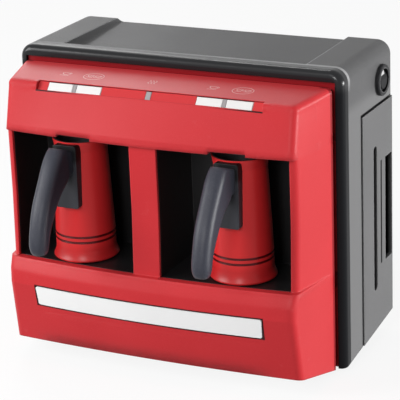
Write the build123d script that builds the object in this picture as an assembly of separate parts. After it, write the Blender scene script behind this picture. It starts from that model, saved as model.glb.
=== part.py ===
"""Two-pot Turkish coffee machine: a deep front with two niches, a housing behind it, and two lift-out pots.

Millimetres. +X is to the viewer's right, -Y is the front, +Z is up. Places along Y in this file are measured
from midway between the front and rear feet. The finished pieces are moved along Y as one, so that the origin
is on the counter under the middle of the whole depth, from the handles to the cord's gland.
"""
import os
from math import cos, radians, sin

from build123d import *

# Clearances that serve every fit and cut
fit = 0.3
seam = 0.4
overrun = 20.0

# Housing: top, sides and upper back, with a round nose along its front edge
housing_half = 140.0
nose_front = -45.0
housing_rear = 59.0
housing_wall = 2.6
side_round = 11.0
edge_round = 5.5
rear_round = 2.5
nose_step = 11.5
nose_width = 6.4
nose_height = 8.7
nose_depth = 7.0
lip_wall = 2.2
lip_reach = 8.0

# Cup tray sunk in the top, deeper at its front, round where its sides meet its floor, and open at the back
shoulder_width = 35.0
tray_setback = 14.0
tray_front_depth = 7.5
tray_rear_depth = 3.2
tray_round = 6.0

# Skirt: the lower edge rises from its lowest line towards the front and towards the back
belly_place = -47.0
belly_height = 5.0
toe_rise_share = 0.216
heel_rise_share = 0.124

# Front: rows from the lower edge to the crown; leads and setbacks are measured from the sill's corners
reveal = 4.0
front_step = 7.0
front_taper_share = 0.19
top_fall_share = 0.08
front_wall = 2.4
corner_round = 6.0
top_round = 4.5
front_bow = 7.5
brow_bow = 1.5
foot_flare = 2.2
brow_flare = -2.0
base_setback = 9.3
chin_drop = 22.0
chin_lead = 1.7
belt_drop = 11.0
belt_lead = 5.4
crease_drop = 9.5
crease_lead = 4.7
sill_height = 87.5
sill_margin = 1.5
pillar_step = 0.6
pillar_foot_setback = 3.7
waist_share = 0.5
waist_setback = 5.8
pillar_head_setback = 5.5
panel_setback = 1.8
panel_rise = 32.9
brow_setback = 9.0
brow_drop = 9.6
crown_setback = 13.3

# Neck behind the front, and the flange that fills the housing's opening
neck_step = 3.0
flange_setback = 2.5
flange_wall = 2.0

# Niches
pillar_half = 11.4
cheek_width = 14.5
niche_inset = 4.0
liner_wall = 1.6
notch_shift = 6.0
notch_width = 30.0
notch_rise = 2.0

# Name strip in a shallow pocket of the lower front
strip_inset = 34.5
strip_rise = 16.0
strip_slant = 0.9
strip_round = 1.6
strip_proud = 0.3
pocket_depth = 1.2
pocket_gap = 0.6

# Control slot across the front's top edge; depths are measured inwards from its mouth
slot_inset = 37.0
slot_height = 8.3
slot_tilt = 40.0
slot_setback = 2.65
slot_rise = 3.2
collar_wall = 1.4
trim_depth = 0.9
plate_wall = 1.5
end_block = 9.0
button_width = 21.6
button_gap = 0.6
button_depth = 0.5
button_wall = 3.2
button_round = 0.7
button_travel = 1.0
button_room = 0.7
stem_radius = 1.4
stem_proud = 1.7
indicator_width = 2.7
indicator_centre_width = 4.4
indicator_depth = 0.8
pipe_radius = 1.0
pipe_reach = 1.0
plunger_rise = 1.8
plunger_radius = 1.2
board_wall = 1.6
board_margin = 1.0
board_height = 14.0
post_radius = 2.2
post_place_inner = 20.0
post_inset = 5.0
switch_width = 6.0
switch_height = 5.0
switch_wall = 1.4
lamp_radius = 1.4
lamp_rise = 3.0
buzzer_place = 35.0
buzzer_radius = 6.0
buzzer_rise = 7.0

# Hotplates, one on the floor of each niche
pot_shift = 4.05
pot_clear = 5.8
plate_radius = 21.5
plate_proud = 0.8
plate_flange_lap = 3.3
plate_flange_wall = 2.0
seal_wall = 1.9
plate_web = 2.0
heater_margin = 2.5
heater_inner = 12.0
heater_rise = 7.0
probe_radius = 6.0
probe_rise = 10.0
bracket_half = 36.0
bracket_depth = 16.0
bracket_wall = 2.0

# Foam sensors above each niche
sensor_width = 26.0
sensor_depth = 20.0
sensor_rise = 11.0
lens_radius = 5.7
lens_drop = 0.8

# Pots
pot_height = 98.0
pot_headroom = 6.2
pot_wall = 1.4
pot_foot_lip = 2.2
pot_foot_edge = 1.5
pot_foot_height = 12.0
pot_flare_share = 0.33
pot_step = 0.6
pot_band_radius = 24.0
groove_low = 15.4
groove_high = 19.7
groove_width = 1.2
groove_depth = 0.8
pot_neck_radius = 20.8
rim_rise = 8.0
rim_flare = 1.6
pot_floor_height = 4.0
disc_wall = 2.6
disc_ledge = 1.6
mount_half = 10.0
mount_wall = 3.0
mount_drop = 1.0
mount_rise = 51.0
mount_round = 2.0
tenon_half = 3.6
tenon_rise = 11.0
tenon_seat = 6.0
tenon_reach = 11.0

# Handle: rounded sections carried along a falling curve, under a flat top that falls towards the pot
grip_fall = 12.0
grip_reach = 46.3
grip_drop = 62.0
grip_reach_shares = (0.0, 0.265, 0.482, 0.688, 0.844, 0.945, 0.994, 0.99)
grip_drop_shares = (0.0, 0.048, 0.208, 0.389, 0.578, 0.753, 0.92, 1.0)
grip_depth = 33.0
grip_depth_shares = (0.85, 0.924, 0.76, 0.642, 0.56, 0.476, 0.424, 0.3)
grip_width = 15.0
grip_width_shares = (1.0, 1.0, 1.0, 1.0, 1.0, 0.98, 0.94, 0.72)
grip_round_share = 0.42
grip_top_drop = 4.5
grip_top_fall_share = 0.39
screw_radius = 1.5
screw_head_radius = 3.0
screw_head_rise = 2.2
grip_screw_setback = 5.0
grip_screw_web = 5.8
grip_screw_rise = 14.0

# Rear cover with side slots, grip pockets and vents
cover_front = -8.0
cover_gap = 5.4
cover_seam = 1.5
cover_proud = 0.8
cover_step = 2.5
cover_wall = 2.5
cover_round = 4.0
side_slot_setback = 28.0
side_slot_width = 7.4
side_slot_low = 48.0
side_slot_drop = 32.5
grip_pocket_inset = 4.5
grip_pocket_width = 15.0
grip_pocket_low = 67.0
grip_pocket_drop = 47.5
grip_pocket_depth = 11.0
grip_line_lead = 9.5
grip_line_width = 1.0
grip_line_depth = 0.8
vent_half = 50.0
vent_rise = 3.0
vent_pitch = 8.0
vent_drop = 82.0
vent_count = 8

# Power switch on the right side
power_setback = 24.5
power_drop = 26.5
bezel_lap = 1.7
bezel_proud = 3.6
sleeve_radius = 10.9
sleeve_wall = 1.4
contact_gap = 0.9
rocker_gap = 0.4
rocker_pivot = 3.0
rocker_crest = 6.2
rocker_tilt = 9.0
switch_body_half = 10.0
switch_body_reach = 18.0

# Base plate, feet and what stands on the plate
base_recess = 0.8
base_wall = 2.5
foot_inset = 40.0
foot_row = 46.0
foot_radius = 9.0
foot_height = 4.0
foot_post_radius = 10.5
upright_half = 8.0
upright_wall = 7.0
upright_top = 38.0
power_board_half = 62.0
power_board_front = -25.0
power_board_inset = 16.5
power_board_height = 26.0
board_post_radius = 4.0
board_post_inset = 6.0
coil_width = 46.0
coil_depth = 38.0
coil_rise = 36.0
coil_place = 30.0
relay_width = 28.0
relay_depth = 12.0
relay_rise = 16.0
relay_pitch = 20.0
relay_place = -30.0

# Fasteners and the cord's gland
cover_screw_inset = 48.0
cover_screw_low = 29.0
cover_screw_drop = 5.0
long_screw_reach = 9.0
boss_reach = 18.0
boss_half = 6.0
boss_top = 34.0
boss_setback = 10.0
boss_inset = 15.5
gland_gap = 15.0
gland_height = 40.0
gland_lap = 3.4
gland_wall = 3.0
gland_tube_wall = 2.2
gland_bore_radius = 3.4

# Widths that follow from the housing's
front_rear_half = housing_half - front_step
tray_half = housing_half - shoulder_width
opening_half = housing_half - nose_width
neck_half = front_rear_half - neck_step
niche_outer = front_rear_half - cheek_width
niche_middle = (pillar_half + niche_outer) / 2
pot_place = niche_middle + pot_shift
strip_half = front_rear_half - strip_inset
slot_half = front_rear_half - slot_inset
slot_length = 2 * slot_half
button_place_outer = slot_half - end_block - button_width / 2
button_place_inner = button_place_outer - button_width - indicator_width - 2 * fit
post_place_outer = slot_half - post_inset
foot_place = housing_half - foot_inset
cover_screw_place = housing_half - cover_screw_inset
boss_inner = housing_half - boss_reach

# Radii of pieces that fit round one another, and the gland's place beside an upright
plate_flange_radius = plate_radius + plate_flange_lap
heater_outer = plate_radius - heater_margin
pot_foot_radius = pot_band_radius + pot_foot_lip
pot_rim_radius = pot_neck_radius + rim_flare
bezel_radius = sleeve_radius + bezel_lap
rocker_radius = sleeve_radius - sleeve_wall - rocker_gap
gland_neck_radius = gland_bore_radius + gland_tube_wall
gland_radius = gland_neck_radius + gland_lap
gland_place = upright_half + gland_radius + gland_gap - cover_screw_place

# Places along Y: the pots set the front's depth, and the housing's back carries the cover
front_rear = nose_front - reveal
flange_front = nose_front + flange_setback
tray_front = nose_front + tray_setback
niche_back = front_rear + niche_inset
pot_depth_place = niche_back - pot_foot_radius - pot_clear
sill_reach = pot_depth_place - plate_flange_radius - sill_margin
base_reach = sill_reach + base_setback
chin_reach = sill_reach - chin_lead
belt_reach = sill_reach - belt_lead
crease_reach = sill_reach - crease_lead
pillar_foot_reach = sill_reach + pillar_foot_setback
waist_reach = sill_reach + waist_setback
pillar_head_reach = sill_reach + pillar_head_setback
panel_low_reach = sill_reach + panel_setback
brow_reach = sill_reach + brow_setback
crown_reach = sill_reach + crown_setback
front_reach = belt_reach - front_bow
cover_rear = housing_rear + cover_step
side_slot_place = cover_front + side_slot_setback
grip_pocket_rear = cover_rear - grip_pocket_inset
grip_pocket_front = grip_pocket_rear - grip_pocket_width
grip_line_place = grip_pocket_front - grip_line_lead
power_place = housing_rear - power_setback
power_board_rear = cover_rear - power_board_inset
boss_front_place = nose_front + nose_depth + boss_setback
boss_rear_place = cover_rear - boss_inset
mount_front = -pot_band_radius - mount_wall
grip_screw_place = mount_front - grip_screw_setback

# Heights: the pots set the niches' height, and the housing's top lies over the front's
crease_height = sill_height - crease_drop
belt_height = crease_height - belt_drop
chin_height = belt_height - chin_drop
strip_high = belt_height
strip_low = strip_high - strip_rise
hot_top = sill_height + plate_proud
flange_bottom = sill_height - liner_wall - seal_wall - plate_flange_wall
web_bottom = flange_bottom - plate_web
panel_low = hot_top + pot_height + pot_headroom
waist_height = sill_height + (panel_low - sill_height) * waist_share
brow_height = panel_low + panel_rise
front_top = brow_height + brow_drop
neck_top = front_top - neck_step
housing_top = front_top + nose_step
opening_top = housing_top - nose_height
power_height = housing_top - power_drop
cover_top = power_height - bezel_radius - cover_gap
side_slot_high = cover_top - side_slot_drop
grip_pocket_high = cover_top - grip_pocket_drop
vent_low = cover_top - vent_drop
pot_neck_height = pot_height - rim_rise
mount_high = pot_height - mount_drop
mount_low = mount_high - mount_rise
grip_top = pot_height - grip_fall
tenon_low = grip_top - tenon_seat
tenon_high = tenon_low + tenon_rise
grip_screw_seat = tenon_low - grip_screw_web

# Depths in the control slot and in the power switch
plate_depth = button_depth + button_wall + button_travel + button_room
stem_reach = plate_depth + plate_wall + stem_proud
plunger_depth = stem_reach + button_travel + fit / 3
board_depth = plunger_depth + plunger_rise
sleeve_reach = rocker_pivot + rocker_radius + contact_gap

slot_slope = radians(slot_tilt)
slot_plane = Plane(
    origin=(0, brow_reach + slot_setback, brow_height + slot_rise),
    x_dir=(1, 0, 0),
    z_dir=(0, -cos(slot_slope), sin(slot_slope)),
)
sides = {"left": -1, "right": 1}


def block(x0, x1, y0, y1, z0, z1):
    """Box between two corners."""
    return Pos((x0 + x1) / 2, (y0 + y1) / 2, (z0 + z1) / 2) * Box(x1 - x0, y1 - y0, z1 - z0)


def mirrored_block(side, x0, x1, y0, y1, z0, z1):
    """Box between two corners, given for the right side and flipped for the left one."""
    low, high = sorted((side * x0, side * x1))
    return block(low, high, y0, y1, z0, z1)


def upright_rod(x, y, z0, z1, radius):
    """Cylinder along Z."""
    return Pos(x, y, (z0 + z1) / 2) * Cylinder(radius, z1 - z0)


def side_rod(y, z, x0, x1, radius):
    """Cylinder along X."""
    return Pos((x0 + x1) / 2, y, z) * Rot(0, 90, 0) * Cylinder(radius, x1 - x0)


def back_rod(x, z, y0, y1, radius):
    """Cylinder along Y."""
    return Pos(x, (y0 + y1) / 2, z) * Rot(90, 0, 0) * Cylinder(radius, y1 - y0)


def side_outline(points, x0, x1):
    """Outline in the YZ plane, carried from x0 to x1."""
    face = Plane.YZ * make_face(Polyline(*points, close=True))
    return Pos(x0, 0, 0) * extrude(face, x1 - x0)


def skirt(y):
    """Height of the lower edge at a place along Y."""
    if y < belly_place:
        return belly_height + (belly_place - y) * toe_rise_share
    return belly_height + (y - belly_place) * heel_rise_share


def skirt_slab(low, high):
    """Everything between two heights over the lower edge."""
    places = (front_reach - overrun, belly_place, cover_rear + overrun)
    lower = [(y, skirt(y) + low) for y in places]
    upper = [(y, skirt(y) + high) for y in reversed(places)]
    return side_outline(lower + upper, -housing_half - overrun, housing_half + overrun)


def below_skirt():
    """Everything under the lower edge."""
    return skirt_slab(-housing_top, 0)


def front_half(y, inset):
    """Half width of the front at a place along Y."""
    return front_rear_half + (y - front_rear) * front_taper_share - inset


def front_row(height, reach, bow, flare, inset, rear):
    """Level section of the front: tapering sides, round corners and a bowed face."""
    near = reach + inset
    half_near = front_half(near, inset) + flare
    half_rear = front_half(rear, inset)
    sides_and_back = Polyline((-half_near, near), (-half_rear, rear), (half_rear, rear), (half_near, near))
    face_line = ThreePointArc((half_near, near), (0, near - bow), (-half_near, near))
    section = make_face(sides_and_back + face_line)
    corners = section.vertices().sort_by(Axis.Y)[:2]
    return Pos(0, 0, height) * fillet(corners, corner_round - inset)


def front_form(inset, rear):
    """Solid of the front, drawn in by an inset on every outer face."""
    crown_height = front_top + overrun
    rows = (
        (-overrun, base_reach, front_bow, foot_flare),
        (chin_height, chin_reach, front_bow, foot_flare),
        (belt_height, belt_reach, front_bow, foot_flare),
        (crease_height, crease_reach, front_bow, foot_flare),
        (sill_height - inset, sill_reach, front_bow, foot_flare),
        (sill_height + pillar_step - inset, pillar_foot_reach, front_bow, 0),
        (waist_height, waist_reach, front_bow, 0),
        (panel_low - pillar_step + inset, pillar_head_reach, front_bow, 0),
        (panel_low + inset, panel_low_reach, front_bow, 0),
        (brow_height, brow_reach, brow_bow, brow_flare),
        (crown_height, crown_reach, brow_bow, brow_flare),
    )
    body = loft([front_row(*row, inset, rear) for row in rows], ruled=True)
    places = (front_reach - overrun, housing_rear)
    lid = [(y, front_top - inset - (front_rear - y) * top_fall_share) for y in places]
    above = [(y, housing_top + housing_top) for y in reversed(places)]
    return body - side_outline(lid + above, -housing_half, housing_half)


def front_shell_form():
    """Outer form of the front with its round top edge, open below."""
    form = front_form(0, front_rear)
    lid = form.faces().sort_by(Axis.Z)[-1]
    rear_edge = lid.edges().sort_by(Axis.Y)[-1]
    return fillet([edge for edge in lid.edges() if edge != rear_edge], top_round) - below_skirt()


def front_hollow():
    """Inside of the front, with the way back through its neck."""
    inside = front_form(front_wall, front_rear - front_wall)
    bore_half = neck_half - front_wall
    bore = block(-bore_half, bore_half, front_rear - overrun, housing_rear, -overrun, neck_top - front_wall)
    return inside + bore


def niche_window(side, margin):
    """Space of one niche, from in front of the machine to the niche's back, grown by a margin."""
    return mirrored_block(
        side,
        pillar_half - margin,
        niche_outer + margin,
        front_reach - overrun,
        niche_back + margin,
        sill_height - margin,
        panel_low + margin,
    )


def strip_outline(margin):
    """Outline of the name strip, carried through the whole front."""
    slant = strip_slant
    half = strip_half + margin
    low = strip_low - margin
    high = strip_high + margin
    points = ((-half, high), (half, high), (half - slant, low), (-half + slant, low))
    face = Plane.XZ * make_face(Polyline(*points, close=True))
    rounded = extrude(face, -front_reach + overrun)
    return fillet(rounded.edges().filter_by(Axis.Y), strip_round)


def in_slot(x, depth0, depth1, width, height):
    """Box in the control slot: place along the slot, two depths from its mouth, width and height."""
    return slot_plane.location * Pos(x, 0, -(depth0 + depth1) / 2) * Box(width, height, depth1 - depth0)


def slot_rod(x, depth0, depth1, radius):
    """Rod along the control slot's depth."""
    return slot_plane.location * Pos(x, 0, -(depth0 + depth1) / 2) * Cylinder(radius, depth1 - depth0)


def slot_collar():
    """Walls round the control slot, behind the front's skin."""
    width = slot_length + 2 * collar_wall
    height = slot_height + 2 * collar_wall
    return in_slot(0, -overrun, plate_depth + plate_wall, width, height)


def front_fascia():
    """Front: shell, neck, flange, niche windows, control slot and the strip's pocket."""
    form = front_shell_form()
    neck = block(-neck_half, neck_half, front_rear, flange_front + flange_wall, 0, neck_top)
    flange_half = opening_half - seam
    flange_top = opening_top - seam
    flange = block(-flange_half, flange_half, flange_front, flange_front + flange_wall, 0, flange_top)
    shell = form + (neck + flange - below_skirt()) - front_hollow()
    shell += slot_collar() & form
    shell -= in_slot(0, -overrun, board_depth, slot_length, slot_height)
    pocket = strip_outline(pocket_gap) - front_form(pocket_depth, front_rear)
    shell -= pocket
    for side in sides.values():
        shell -= niche_window(side, 0)
        notch_low = side * niche_middle + notch_shift - notch_width / 2
        notch_high = notch_low + notch_width
        notch_far = front_reach - overrun
        notch_near = panel_low_reach + front_wall
        notch_top = panel_low + notch_rise
        shell -= block(notch_low, notch_high, notch_far, notch_near, sill_height, notch_top)
    return shell


def name_strip():
    """Plain strip that follows the bow of the lower front."""
    outer = front_form(-strip_proud, front_rear)
    inner = front_form(pocket_depth - fit, front_rear)
    return strip_outline(0) & (outer - inner)


def housing_form():
    """Outer form of the housing with its round nose, sides and back."""
    form = block(-housing_half, housing_half, nose_front, housing_rear, -overrun, housing_top)
    form = fillet(form.faces().sort_by(Axis.Z)[-1].edges().filter_by(Axis.Y), side_round)
    front = form.faces().sort_by(Axis.Y)[0]
    form = fillet(front.edges().sort_by(Axis.Z)[1:], edge_round)
    back = form.faces().sort_by(Axis.Y)[-1]
    return fillet(back.edges().sort_by(Axis.Z)[1:], rear_round)


def housing_hollow():
    """Inside of the housing: under the shoulders, under the tray and through the front opening."""
    half = housing_half - housing_wall
    inner_front = nose_front + nose_depth
    inner_rear = housing_rear - housing_wall
    shoulder_top = housing_top - edge_round
    tray_bottom = housing_top - tray_front_depth - housing_wall
    room = block(-half, half, inner_front, inner_rear, -overrun - overrun, tray_bottom)
    for side in sides.values():
        low = tray_half + housing_wall
        nook = mirrored_block(side, low, half, inner_front, inner_rear, 0, shoulder_top)
        outer_edge = nook.edges().sort_by_distance((side * half, 0, shoulder_top))[0]
        room += fillet(outer_edge, side_round - housing_wall)
    mouth_far = nose_front - overrun
    mouth_near = inner_front + overrun
    mouth = block(-opening_half, opening_half, mouth_far, mouth_near, -overrun - overrun, opening_top)
    mouth -= block(-opening_half, opening_half, inner_front, mouth_near, tray_bottom, housing_top)
    return room + mouth


def cup_tray():
    """Space of the tray in the top."""
    far = housing_rear + overrun
    fall = (tray_front_depth - tray_rear_depth) / (housing_rear - tray_front)
    far_floor = housing_top - tray_front_depth + (far - tray_front) * fall
    points = (
        (tray_front, housing_top - tray_front_depth),
        (far, far_floor),
        (far, housing_top + overrun),
        (tray_front, housing_top + overrun),
    )
    space = side_outline(points, -tray_half, tray_half)
    floor_edges = space.faces().sort_by(Axis.Z)[0].edges().sort_by(Axis.X)
    return fillet([floor_edges[0], floor_edges[-1]], tray_round)


def cover_space():
    """Part of the housing's place that the rear cover takes."""
    return block(
        -housing_half - overrun,
        housing_half + overrun,
        cover_front,
        cover_rear + overrun,
        -overrun - overrun,
        cover_top,
    )


def cover_lip():
    """Tongue of the housing that stands behind the rear cover's edges."""
    outer_half = housing_half + cover_proud - cover_wall - fit
    inner_half = outer_half - lip_wall
    outer_rear = cover_rear - cover_wall - fit
    inner_rear = outer_rear - lip_wall
    front = cover_front - lip_reach
    top = cover_top + lip_reach
    outer = block(-outer_half, outer_half, front, outer_rear, 0, top)
    outer = fillet(outer.edges().filter_by(Axis.Z).sort_by(Axis.Y)[-2:], cover_round - cover_wall)
    inner = block(-inner_half, inner_half, front - overrun, inner_rear, -overrun, top + overrun)
    pad_low = cover_top - lip_reach
    beyond = block(-outer_half, outer_half, cover_front + lip_reach, outer_rear, -overrun, pad_low)
    pad_half = screw_head_radius + lip_wall
    lip = outer - inner - beyond
    for side in sides.values():
        place = side * cover_screw_place
        lip += block(place - pad_half, place + pad_half, inner_rear - lip_reach, inner_rear, pad_low, top)
    return lip


def main_housing():
    """Housing: shell, tray, lip, corner bosses, power switch hole and screw holes."""
    shell = housing_form() - housing_hollow()
    shell -= cover_space()
    shell += cover_lip()
    shell -= cup_tray()
    half = housing_half - housing_wall
    for side in sides.values():
        boss_front = boss_front_place - boss_half
        boss_back = boss_front_place + boss_half
        shell += mirrored_block(side, boss_inner, half, boss_front, boss_back, 0, boss_top)
    shell -= skirt_slab(-housing_top, base_recess + base_wall) & block(
        -half, half, nose_front + nose_depth, housing_rear, -overrun, housing_top
    )
    shell -= below_skirt()
    for hole in base_screw_places():
        shell -= upright_rod(hole[0], hole[1], 0, hole[2] + long_screw_reach + fit, screw_radius + fit)
    for place in cover_screw_places():
        shell -= back_rod(place[0], place[1], cover_rear - cover_wall - overrun, cover_rear, screw_radius + fit)
    near = housing_half - overrun
    far = housing_half + overrun
    return shell - side_rod(power_place, power_height, near, far, sleeve_radius + fit)


def base_screw_places():
    """Places of the four base screws, with the height of their heads' seats under the base plate."""
    inset = boss_inner + boss_half
    rows = (boss_front_place, boss_rear_place)
    seats = [(y, skirt(y - screw_head_radius) + base_recess) for y in rows]
    return [(side * inset, y, seat) for side in sides.values() for y, seat in seats]


def cover_screw_places():
    """Places of the four rear cover screws."""
    heights = (cover_screw_low, cover_top - cover_screw_drop)
    return [(side * cover_screw_place, z) for side in sides.values() for z in heights]


def rear_cover():
    """Rear cover: two sides and a back with slots, grip pockets, vents, bosses and the gland's hole."""
    half = housing_half + cover_proud
    top = cover_top - cover_seam
    front = cover_front + cover_seam
    outer = block(-half, half, front, cover_rear, -overrun, top)
    outer = fillet(outer.edges().filter_by(Axis.Z).sort_by(Axis.Y)[-2:], cover_round)
    inner_half = half - cover_wall
    inner_rear = cover_rear - cover_wall
    inner = block(-inner_half, inner_half, front - overrun, inner_rear, -overrun - overrun, top + overrun)
    inner = fillet(inner.edges().filter_by(Axis.Z).sort_by(Axis.Y)[-2:], cover_round - cover_wall)
    shell = outer - inner
    for side in sides.values():
        shell += grip_pocket(side, cover_wall) & outer
        shell -= grip_pocket(side, 0)
        shell -= grip_line(side)
        slot_front = side_slot_place - side_slot_width / 2
        slot_back = slot_front + side_slot_width
        slot = mirrored_block(
            side, inner_half - overrun, half + overrun, slot_front, slot_back, side_slot_low, side_slot_high
        )
        shell -= fillet(slot.edges().filter_by(Axis.X), side_slot_width / 2 - fit)
        boss = (boss_rear_place - boss_half, boss_rear_place + boss_half)
        shell += mirrored_block(side, boss_inner, inner_half, boss[0], boss[1], 0, boss_top)
    for number in range(vent_count):
        low = vent_low + number * vent_pitch
        shell -= block(-vent_half, vent_half, inner_rear - overrun, cover_rear + overrun, low, low + vent_rise)
    shell -= skirt_slab(-housing_top, base_recess + base_wall) & inner
    shell -= below_skirt()
    for hole in base_screw_places():
        shell -= upright_rod(hole[0], hole[1], 0, hole[2] + long_screw_reach + fit, screw_radius + fit)
    for place in cover_screw_places():
        shell -= back_rod(place[0], place[1], inner_rear - overrun, cover_rear + overrun, screw_radius + fit)
    gland_hole = gland_neck_radius + fit
    return shell - back_rod(gland_place, gland_height, inner_rear - overrun, cover_rear, gland_hole)


def grip_pocket(side, margin):
    """Finger pocket in one side of the rear cover, grown by a margin."""
    half = housing_half + cover_proud
    return mirrored_block(
        side,
        half - grip_pocket_depth - margin,
        half + overrun,
        grip_pocket_front - margin,
        grip_pocket_rear + margin,
        grip_pocket_low - margin,
        grip_pocket_high + margin,
    )


def grip_line(side):
    """Fine groove in front of a finger pocket."""
    half = housing_half + cover_proud
    back = grip_line_place + grip_line_width
    deep = half - grip_line_depth
    return mirrored_block(side, deep, half + overrun, grip_line_place, back, grip_pocket_low, grip_pocket_high)


def base_plate():
    """Base plate that follows the lower edge, with foot posts, board posts and uprights for the cover."""
    front_part = front_form(front_wall + fit, front_rear - front_wall - fit)
    bore_half = neck_half - front_wall - fit
    half = housing_half - housing_wall - fit
    rear = cover_rear - cover_wall - fit
    inner_front = nose_front + nose_depth
    neck_part = block(-bore_half, bore_half, front_rear - overrun, inner_front + overrun, -overrun, housing_top)
    rear_part = block(-half, half, inner_front + fit, rear, -overrun, housing_top)
    rear_part = fillet(rear_part.edges().filter_by(Axis.Z).sort_by(Axis.Y)[-2:], cover_round - cover_wall)
    plate = skirt_slab(base_recess, base_recess + base_wall) & (front_part + neck_part + rear_part)
    for side in sides.values():
        for row in (-foot_row, foot_row):
            top = skirt(row) + base_recess + base_wall
            plate += upright_rod(side * foot_place, row, foot_height, top, foot_post_radius)
        place = side * cover_screw_place
        low = skirt(rear) + base_recess
        plate += block(place - upright_half, place + upright_half, rear - upright_wall, rear, low, upright_top)
    for x, y in board_posts():
        plate += upright_rod(x, y, skirt(y) + base_recess, power_board_height, board_post_radius)
        hole_low = power_board_height - long_screw_reach
        plate -= upright_rod(x, y, hole_low, power_board_height, screw_radius + fit)
    for hole in base_screw_places():
        plate -= upright_rod(hole[0], hole[1], 0, hole[2] + overrun, screw_radius + fit)
    for place in cover_screw_places():
        plate -= back_rod(place[0], place[1], rear - upright_wall - overrun, rear, screw_radius + fit)
    return plate


def feet():
    """Four rubber feet under the foot posts."""
    foot = upright_rod(0, 0, 0, foot_height, foot_radius)
    foot = fillet(foot.edges().sort_by(Axis.Z)[0], foot_height / 4)
    places = [(side * foot_place, row) for side in sides.values() for row in (-foot_row, foot_row)]
    return Compound([Pos(x, y, 0) * foot for x, y in places])


def screw(reach):
    """Screw with its head under zero height and its shank rising."""
    head = upright_rod(0, 0, -screw_head_rise, 0, screw_head_radius)
    head = fillet(head.edges().sort_by(Axis.Z)[0], screw_head_rise / 3)
    return head + upright_rod(0, 0, 0, reach, screw_radius)


def base_screws():
    """Screws that hold the base plate."""
    body = screw(long_screw_reach)
    return Compound([Pos(x, y, z) * body for x, y, z in base_screw_places()])


def cover_screws():
    """Screws that hold the rear cover."""
    body = Rot(90, 0, 0) * screw(long_screw_reach)
    return Compound([Pos(x, cover_rear, z) * body for x, z in cover_screw_places()])


def board_screws():
    """Screws that hold the power board on its posts."""
    body = Rot(180, 0, 0) * screw(long_screw_reach - fit)
    top = power_board_height + board_wall
    return Compound([Pos(x, y, top) * body for x, y in board_posts()])


def board_posts():
    """Places of the power board's posts."""
    x = power_board_half - board_post_inset
    rows = (power_board_front + board_post_inset, power_board_rear - board_post_inset)
    return [(side * x, y) for side in sides.values() for y in rows]


def power_board():
    """Power board with holes for its screws."""
    top = power_board_height + board_wall
    half = power_board_half
    board = block(-half, half, power_board_front, power_board_rear, power_board_height, top)
    for x, y in board_posts():
        board -= upright_rod(x, y, power_board_height - overrun, top + overrun, screw_radius + fit)
    return board


def transformer():
    """Transformer: laminated core with a winding through it."""
    floor = power_board_height + board_wall
    middle = (power_board_front + power_board_rear) / 2
    low = coil_place - coil_width / 2
    core_front = middle - coil_depth / 4
    core_rear = middle + coil_depth / 4
    core = block(low, low + coil_width, core_front, core_rear, floor, floor + coil_rise)
    inset = coil_width / 6
    yoke = coil_rise / 6
    winding = block(
        low + inset,
        low + coil_width - inset,
        middle - coil_depth / 2,
        middle + coil_depth / 2,
        floor + yoke,
        floor + coil_rise - yoke,
    )
    return core + fillet(winding.edges().filter_by(Axis.Z), yoke / 2)


def relays():
    """Two relays, one for each hotplate."""
    floor = power_board_height + board_wall
    middle = (power_board_front + power_board_rear) / 2
    low = relay_place - relay_width / 2
    bodies = []
    for side in sides.values():
        front = middle + side * relay_pitch / 2 - relay_depth / 2
        body = block(low, low + relay_width, front, front + relay_depth, floor, floor + relay_rise)
        bodies.append(chamfer(body.faces().sort_by(Axis.Z)[-1].edges(), board_wall / 2))
    return Compound(bodies)


def niche_liner(side):
    """Open box that lines one niche, with holes for the hotplate and the sensor's lens."""
    inside = front_form(front_wall + fit, front_rear - front_wall - fit)
    tail_half = niche_outer + overrun
    tail = block(-tail_half, tail_half, front_rear - overrun, housing_rear, 0, housing_top)
    walls = niche_window(side, liner_wall) - niche_window(side, 0)
    walls &= inside + tail
    x = side * pot_place
    walls -= upright_rod(x, pot_depth_place, sill_height - overrun, sill_height + overrun, plate_radius + seam)
    walls -= upright_rod(x, pot_depth_place, panel_low - overrun, panel_low + overrun, lens_radius + fit)
    return walls


def at_pot(side):
    """Place of one pot's axis."""
    return Pos(side * pot_place, pot_depth_place, 0)


def hotplate(side):
    """Hotplate: raised disc over a wider flange."""
    disc = upright_rod(0, 0, web_bottom, hot_top, plate_radius)
    disc = fillet(disc.edges().sort_by(Axis.Z)[-1], plate_proud / 2)
    flange = upright_rod(0, 0, flange_bottom, flange_bottom + plate_flange_wall, plate_flange_radius)
    return at_pot(side) * (disc + flange)


def hotplate_seal(side):
    """Heat-proof ring between the hotplate's flange and the niche floor."""
    low = flange_bottom + plate_flange_wall
    ring = upright_rod(0, 0, low, low + seal_wall, plate_flange_radius)
    return at_pot(side) * (ring - upright_rod(0, 0, low, low + seal_wall, plate_radius + fit))


def heater_ring(side):
    """Heating ring under the hotplate."""
    low = web_bottom - heater_rise
    ring = upright_rod(0, 0, low, web_bottom, heater_outer) - upright_rod(0, 0, low, web_bottom, heater_inner)
    return at_pot(side) * chamfer(ring.edges().sort_by(Axis.Z)[:2], heater_rise / 5)


def heat_probe(side):
    """Temperature probe in the middle of the heating ring."""
    low = web_bottom - probe_rise
    body = upright_rod(0, 0, low, web_bottom, probe_radius)
    return at_pot(side) * chamfer(body.edges().sort_by(Axis.Z)[-1], probe_radius / 6)


def heater_bracket(side):
    """Sprung strap that carries the probe and hotplate from the niche floor."""
    top = sill_height - liner_wall
    low = web_bottom - probe_rise
    half_depth = bracket_depth / 2
    bar = block(-bracket_half, bracket_half, -half_depth, half_depth, low - bracket_wall, low)
    for end in sides.values():
        bar += mirrored_block(end, bracket_half - bracket_wall, bracket_half, -half_depth, half_depth, low, top)
        foot = bracket_half + bracket_depth / 2
        bar += mirrored_block(end, bracket_half, foot, -half_depth, half_depth, top - bracket_wall, top)
    return at_pot(side) * bar


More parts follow.
